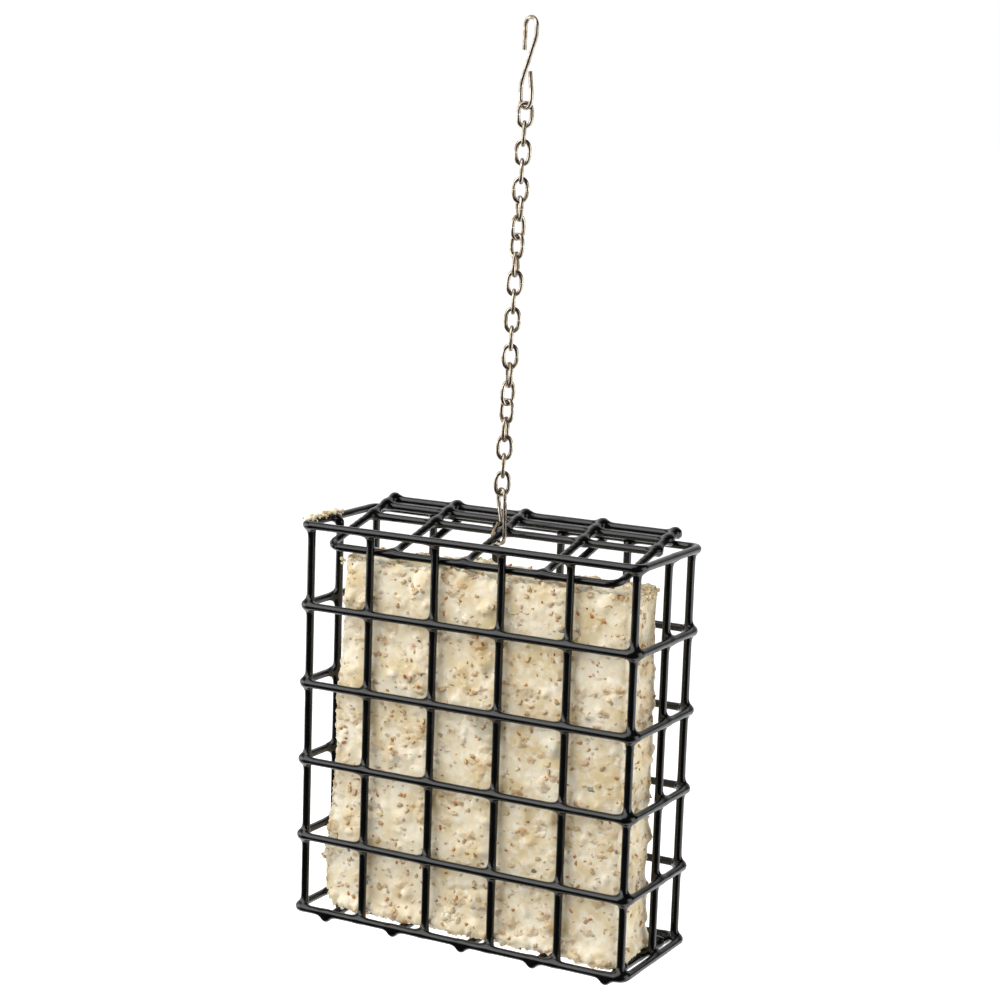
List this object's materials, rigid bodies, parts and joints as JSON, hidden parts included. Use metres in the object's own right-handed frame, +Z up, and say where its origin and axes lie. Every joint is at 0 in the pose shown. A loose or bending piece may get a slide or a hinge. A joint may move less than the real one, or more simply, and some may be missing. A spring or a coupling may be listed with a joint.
{
  "type": "hanging bird feeder",
  "caption": "Flat welded-wire cage holding a suet cake, with a hinged wire lid, hung from an S-hook on a link chain.",
  "frame": {"origin": "inside the top of the S-hook's upper loop, where the feeder hangs", "axes": "+X along the cage's front, +Y from the front to the back, +Z up"},
  "size_m": [0.1307, 0.0559, 0.3133],
  "materials": {
    "coated_wire": "gloss",
    "plated_wire": "bright plated",
    "suet": "matte, grainy"
  },
  "bodies": {
    "hook": {"s_hook": "plated_wire"},
    "link_01": {"chain_link_01": "plated_wire"},
    "link_02": {"chain_link_02": "plated_wire"},
    "link_03": {"chain_link_03": "plated_wire"},
    "link_04": {"chain_link_04": "plated_wire"},
    "link_05": {"chain_link_05": "plated_wire"},
    "link_06": {"chain_link_06": "plated_wire"},
    "link_07": {"chain_link_07": "plated_wire"},
    "link_08": {"chain_link_08": "plated_wire"},
    "link_09": {"chain_link_09": "plated_wire"},
    "link_10": {"chain_link_10": "plated_wire"},
    "link_11": {"chain_link_11": "plated_wire"},
    "link_12": {"chain_link_12": "plated_wire"},
    "link_13": {"chain_link_13": "plated_wire"},
    "link_14": {"chain_link_14": "plated_wire"},
    "link_15": {"chain_link_15": "plated_wire"},
    "link_16": {"chain_link_16": "plated_wire"},
    "link_17": {"chain_link_17": "plated_wire"},
    "link_18": {"chain_link_18": "plated_wire"},
    "link_19": {"chain_link_19": "plated_wire"},
    "link_20": {"chain_link_20": "plated_wire"},
    "link_21": {"chain_link_21": "plated_wire"},
    "clasp": {"lid_clasp": "plated_wire"},
    "lid": {"lid_frame_wire": "coated_wire", "lid_centre_wire": "coated_wire", "lid_long_wire_front": "coated_wire", "lid_long_wire_middle": "coated_wire", "lid_long_wire_rear": "coated_wire", "lid_hinge_wire_left": "coated_wire", "lid_hinge_wire_right": "coated_wire"},
    "cage": {"cage_ring_1": "coated_wire", "cage_ring_2": "coated_wire", "cage_ring_3": "coated_wire", "cage_ring_4": "coated_wire", "cage_ring_5": "coated_wire", "cage_ring_6": "coated_wire", "front_upright_1": "coated_wire", "front_upright_2": "coated_wire", "front_upright_3": "coated_wire", "front_upright_4": "coated_wire", "front_upright_5": "coated_wire", "front_upright_6": "coated_wire", "rear_upright_1": "coated_wire", "rear_upright_2": "coated_wire", "rear_upright_3": "coated_wire", "rear_upright_4": "coated_wire", "rear_upright_5": "coated_wire", "rear_upright_6": "coated_wire", "side_wire": "coated_wire", "base_cross_wire_1": "coated_wire", "base_cross_wire_2": "coated_wire", "base_cross_wire_3": "coated_wire", "base_cross_wire_4": "coated_wire", "base_cross_wire_5": "coated_wire", "base_long_wire_front": "coated_wire", "base_long_wire_rear": "coated_wire"},
    "cake": {"suet_cake": "suet"}
  },
  "joints": [
    {"name": "link_01_swing", "type": "hinge", "parent": "hook", "child": "link_01", "pos_m": [-0.00153, 0.00078, -0.0287], "axis": [0.891, -0.454, 0], "range_deg": [-45, 45]},
    {"name": "link_02_swing", "type": "hinge", "parent": "link_01", "child": "link_02", "pos_m": [-0.0017, 0.00072, -0.0349], "axis": [0.8825, 0.4694, -0.0286], "range_deg": [-60, 60]},
    {"name": "link_03_swing", "type": "hinge", "parent": "link_02", "child": "link_03", "pos_m": [-0.00187, 0.00066, -0.04109], "axis": [-0.4694, 0.883, 0.0042], "range_deg": [-60, 60]},
    {"name": "link_04_swing", "type": "hinge", "parent": "link_03", "child": "link_04", "pos_m": [-0.00204, 0.0006, -0.04729], "axis": [-0.8825, -0.4694, 0.0286], "range_deg": [-60, 60]},
    {"name": "link_05_swing", "type": "hinge", "parent": "link_04", "child": "link_05", "pos_m": [-0.0022, 0.00054, -0.05349], "axis": [0.4694, -0.883, -0.0042], "range_deg": [-60, 60]},
    {"name": "link_06_swing", "type": "hinge", "parent": "link_05", "child": "link_06", "pos_m": [-0.00237, 0.00048, -0.05969], "axis": [0.8825, 0.4694, -0.0286], "range_deg": [-60, 60]},
    {"name": "link_07_swing", "type": "hinge", "parent": "link_06", "child": "link_07", "pos_m": [-0.00254, 0.00042, -0.06588], "axis": [-0.7191, 0.6948, 0.0128], "range_deg": [-60, 60]},
    {"name": "link_08_swing", "type": "hinge", "parent": "link_07", "child": "link_08", "pos_m": [-0.00271, 0.00036, -0.07208], "axis": [-0.4379, -0.8988, 0.0206], "range_deg": [-60, 60]},
    {"name": "link_09_swing", "type": "hinge", "parent": "link_08", "child": "link_09", "pos_m": [-0.00288, 0.0003, -0.07828], "axis": [0.9899, -0.1395, -0.0256], "range_deg": [-60, 60]},
    {"name": "link_10_swing", "type": "hinge", "parent": "link_09", "child": "link_10", "pos_m": [-0.00305, 0.00024, -0.08448], "axis": [-0.1738, 0.9848, -0.0048], "range_deg": [-60, 60]},
    {"name": "link_11_swing", "type": "hinge", "parent": "link_10", "child": "link_11", "pos_m": [-0.00321, 0.00018, -0.09067], "axis": [-0.8825, -0.4694, 0.0286], "range_deg": [-60, 60]},
    {"name": "link_12_swing", "type": "hinge", "parent": "link_11", "child": "link_12", "pos_m": [-0.00338, 0.00012, -0.09687], "axis": [0.4694, -0.883, -0.0042], "range_deg": [-60, 60]},
    {"name": "link_13_swing", "type": "hinge", "parent": "link_12", "child": "link_13", "pos_m": [-0.00355, 0.00006, -0.10307], "axis": [0.8825, 0.4694, -0.0286], "range_deg": [-60, 60]},
    {"name": "link_14_swing", "type": "hinge", "parent": "link_13", "child": "link_14", "pos_m": [-0.00372, 0, -0.10927], "axis": [-0.4694, 0.883, 0.0042], "range_deg": [-60, 60]},
    {"name": "link_15_swing", "type": "hinge", "parent": "link_14", "child": "link_15", "pos_m": [-0.00389, -0.00006, -0.11546], "axis": [-0.8825, -0.4694, 0.0286], "range_deg": [-60, 60]},
    {"name": "link_16_swing", "type": "hinge", "parent": "link_15", "child": "link_16", "pos_m": [-0.00406, -0.00012, -0.12166], "axis": [0.7191, -0.6948, -0.0128], "range_deg": [-60, 60]},
    {"name": "link_17_swing", "type": "hinge", "parent": "link_16", "child": "link_17", "pos_m": [-0.00423, -0.00018, -0.12786], "axis": [0.4379, 0.8988, -0.0206], "range_deg": [-60, 60]},
    {"name": "link_18_swing", "type": "hinge", "parent": "link_17", "child": "link_18", "pos_m": [-0.00439, -0.00024, -0.13406], "axis": [-0.9899, 0.1395, 0.0256], "range_deg": [-60, 60]},
    {"name": "link_19_swing", "type": "hinge", "parent": "link_18", "child": "link_19", "pos_m": [-0.00456, -0.0003, -0.14025], "axis": [0.1738, -0.9848, 0.0048], "range_deg": [-60, 60]},
    {"name": "link_20_swing", "type": "hinge", "parent": "link_19", "child": "link_20", "pos_m": [-0.00473, -0.00036, -0.14645], "axis": [0.8825, 0.4694, -0.0286], "range_deg": [-60, 60]},
    {"name": "link_21_swing", "type": "hinge", "parent": "link_20", "child": "link_21", "pos_m": [-0.0049, -0.00042, -0.15265], "axis": [-0.4694, 0.883, 0.0042], "range_deg": [-60, 60]},
    {"name": "clasp_swing", "type": "hinge", "parent": "link_21", "child": "clasp", "pos_m": [-0.00507, -0.00048, -0.15885], "axis": [-0.8825, -0.4694, 0.0286], "range_deg": [-10, 15]},
    {"name": "lid_roll", "type": "hinge", "parent": "clasp", "child": "lid", "pos_m": [-0.00643, 0.00034, -0.17341], "axis": [0, 0.9673, 0.2538], "range_deg": [-30, 30]},
    {"name": "lid_hinge", "type": "hinge", "parent": "lid", "child": "cage", "pos_m": [-0.00243, 0.01753, -0.1721], "axis": [1, 0, 0], "range_deg": [0, 105]},
    {"name": "cake_slide", "type": "slide", "parent": "cage", "child": "cake", "axis": [1, 0, 0], "range_m": [-0.0027, 0.001]}
  ]
}
